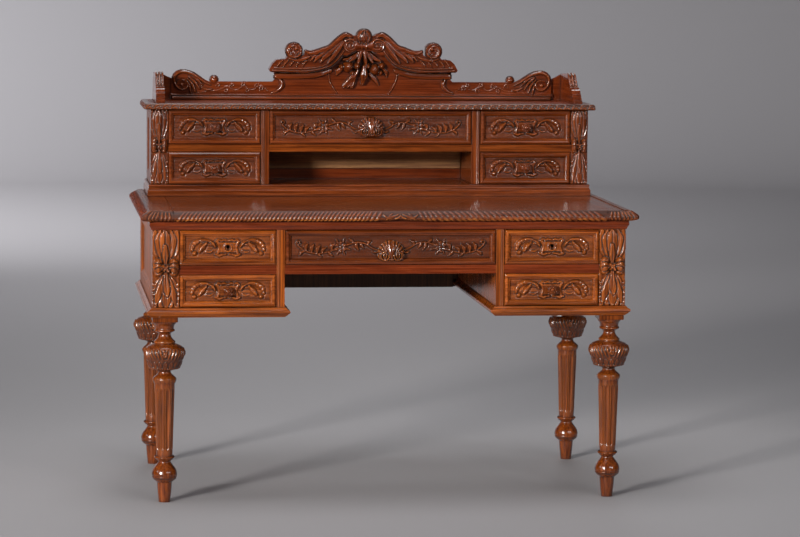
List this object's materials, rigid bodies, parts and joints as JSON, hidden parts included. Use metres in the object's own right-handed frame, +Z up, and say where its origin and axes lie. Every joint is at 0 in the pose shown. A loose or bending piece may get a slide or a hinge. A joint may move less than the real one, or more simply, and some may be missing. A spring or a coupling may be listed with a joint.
{
  "type": "writing desk",
  "caption": "Carved oak writing desk: moulded top with a pull-out writing slide, pedestal drawers on turned legs, and a drawer hutch with a scrolled gallery.",
  "frame": {"origin": "on the floor, under the middle of the top's outline", "axes": "+X to the right of someone facing the drawers, +Y towards the hutch at the rear, +Z up"},
  "size_m": [1.3246, 0.7598, 1.2411],
  "materials": {
    "red_waxed_oak": "dark red-brown stained oak, waxed satin",
    "golden_waxed_oak": "orange-brown stained oak, waxed satin",
    "dark_waxed_oak": "dark brown stained oak, waxed satin",
    "drawer_lining_oak": "unstained planed oak",
    "back_board_oak": "thin stained oak boards, matt",
    "brass": "dull brass"
  },
  "bodies": {
    "case": {"leg_front_left": "red_waxed_oak", "leg_front_right": "red_waxed_oak", "leg_rear_left": "red_waxed_oak", "leg_rear_right": "red_waxed_oak", "carved_post_front_left": "golden_waxed_oak", "carved_post_front_right": "golden_waxed_oak", "side_panel_left": "golden_waxed_oak", "side_panel_right": "golden_waxed_oak", "kneehole_side_left": "golden_waxed_oak", "kneehole_side_right": "golden_waxed_oak", "pedestal_base_left": "golden_waxed_oak", "pedestal_base_right": "golden_waxed_oak", "middle_board": "red_waxed_oak", "frieze_rail": "red_waxed_oak", "back_panel": "back_board_oak", "top_end_left": "golden_waxed_oak", "top_end_right": "golden_waxed_oak", "top_rear_rail": "golden_waxed_oak", "hutch_plinth": "dark_waxed_oak", "hutch_side_left": "dark_waxed_oak", "hutch_side_right": "dark_waxed_oak", "hutch_post_left": "dark_waxed_oak", "hutch_post_right": "dark_waxed_oak", "hutch_divider_left": "dark_waxed_oak", "hutch_divider_right": "dark_waxed_oak", "hutch_shelf": "dark_waxed_oak", "hutch_back": "back_board_oak", "hutch_cornice": "dark_waxed_oak", "gallery_back": "dark_waxed_oak", "pediment_moulding": "dark_waxed_oak", "gallery_end_left": "dark_waxed_oak", "gallery_end_right": "dark_waxed_oak"},
    "writing_slide": {"writing_slide": "golden_waxed_oak"},
    "drawer_upper_left": {"drawer_upper_left_front": "golden_waxed_oak", "drawer_upper_left_box": "drawer_lining_oak", "lock_upper_left": "brass"},
    "drawer_lower_left": {"drawer_lower_left_front": "golden_waxed_oak", "drawer_lower_left_box": "drawer_lining_oak", "knob_lower_left": "dark_waxed_oak"},
    "drawer_upper_right": {"drawer_upper_right_front": "golden_waxed_oak", "drawer_upper_right_box": "drawer_lining_oak", "lock_upper_right": "brass"},
    "drawer_lower_right": {"drawer_lower_right_front": "golden_waxed_oak", "drawer_lower_right_box": "drawer_lining_oak", "knob_lower_right": "dark_waxed_oak"},
    "drawer_centre": {"drawer_centre_front": "golden_waxed_oak", "drawer_centre_box": "drawer_lining_oak", "shell_pull_centre": "golden_waxed_oak"},
    "hutch_drawer_upper_left": {"hutch_drawer_upper_left": "dark_waxed_oak", "hutch_knob_upper_left": "dark_waxed_oak"},
    "hutch_drawer_lower_left": {"hutch_drawer_lower_left": "dark_waxed_oak", "hutch_knob_lower_left": "dark_waxed_oak"},
    "hutch_drawer_upper_right": {"hutch_drawer_upper_right": "dark_waxed_oak", "hutch_knob_upper_right": "dark_waxed_oak"},
    "hutch_drawer_lower_right": {"hutch_drawer_lower_right": "dark_waxed_oak", "hutch_knob_lower_right": "dark_waxed_oak"},
    "hutch_drawer_centre": {"hutch_drawer_centre": "dark_waxed_oak", "hutch_shell_pull_centre": "dark_waxed_oak"}
  },
  "joints": [
    {"name": "writing_slide_run", "type": "slide", "parent": "case", "child": "writing_slide", "axis": [0, -1, 0], "range_m": [0, 0.25]},
    {"name": "drawer_upper_left_run", "type": "slide", "parent": "case", "child": "drawer_upper_left", "axis": [0, -1, 0], "range_m": [0, 0.4]},
    {"name": "drawer_lower_left_run", "type": "slide", "parent": "case", "child": "drawer_lower_left", "axis": [0, -1, 0], "range_m": [0, 0.4]},
    {"name": "drawer_upper_right_run", "type": "slide", "parent": "case", "child": "drawer_upper_right", "axis": [0, -1, 0], "range_m": [0, 0.4]},
    {"name": "drawer_lower_right_run", "type": "slide", "parent": "case", "child": "drawer_lower_right", "axis": [0, -1, 0], "range_m": [0, 0.4]},
    {"name": "drawer_centre_run", "type": "slide", "parent": "case", "child": "drawer_centre", "axis": [0, -1, 0], "range_m": [0, 0.4]},
    {"name": "hutch_drawer_upper_left_run", "type": "slide", "parent": "case", "child": "hutch_drawer_upper_left", "axis": [0, -1, 0], "range_m": [0, 0.15]},
    {"name": "hutch_drawer_lower_left_run", "type": "slide", "parent": "case", "child": "hutch_drawer_lower_left", "axis": [0, -1, 0], "range_m": [0, 0.15]},
    {"name": "hutch_drawer_upper_right_run", "type": "slide", "parent": "case", "child": "hutch_drawer_upper_right", "axis": [0, -1, 0], "range_m": [0, 0.15]},
    {"name": "hutch_drawer_lower_right_run", "type": "slide", "parent": "case", "child": "hutch_drawer_lower_right", "axis": [0, -1, 0], "range_m": [0, 0.15]},
    {"name": "hutch_drawer_centre_run", "type": "slide", "parent": "case", "child": "hutch_drawer_centre", "axis": [0, -1, 0], "range_m": [0, 0.15]}
  ]
}
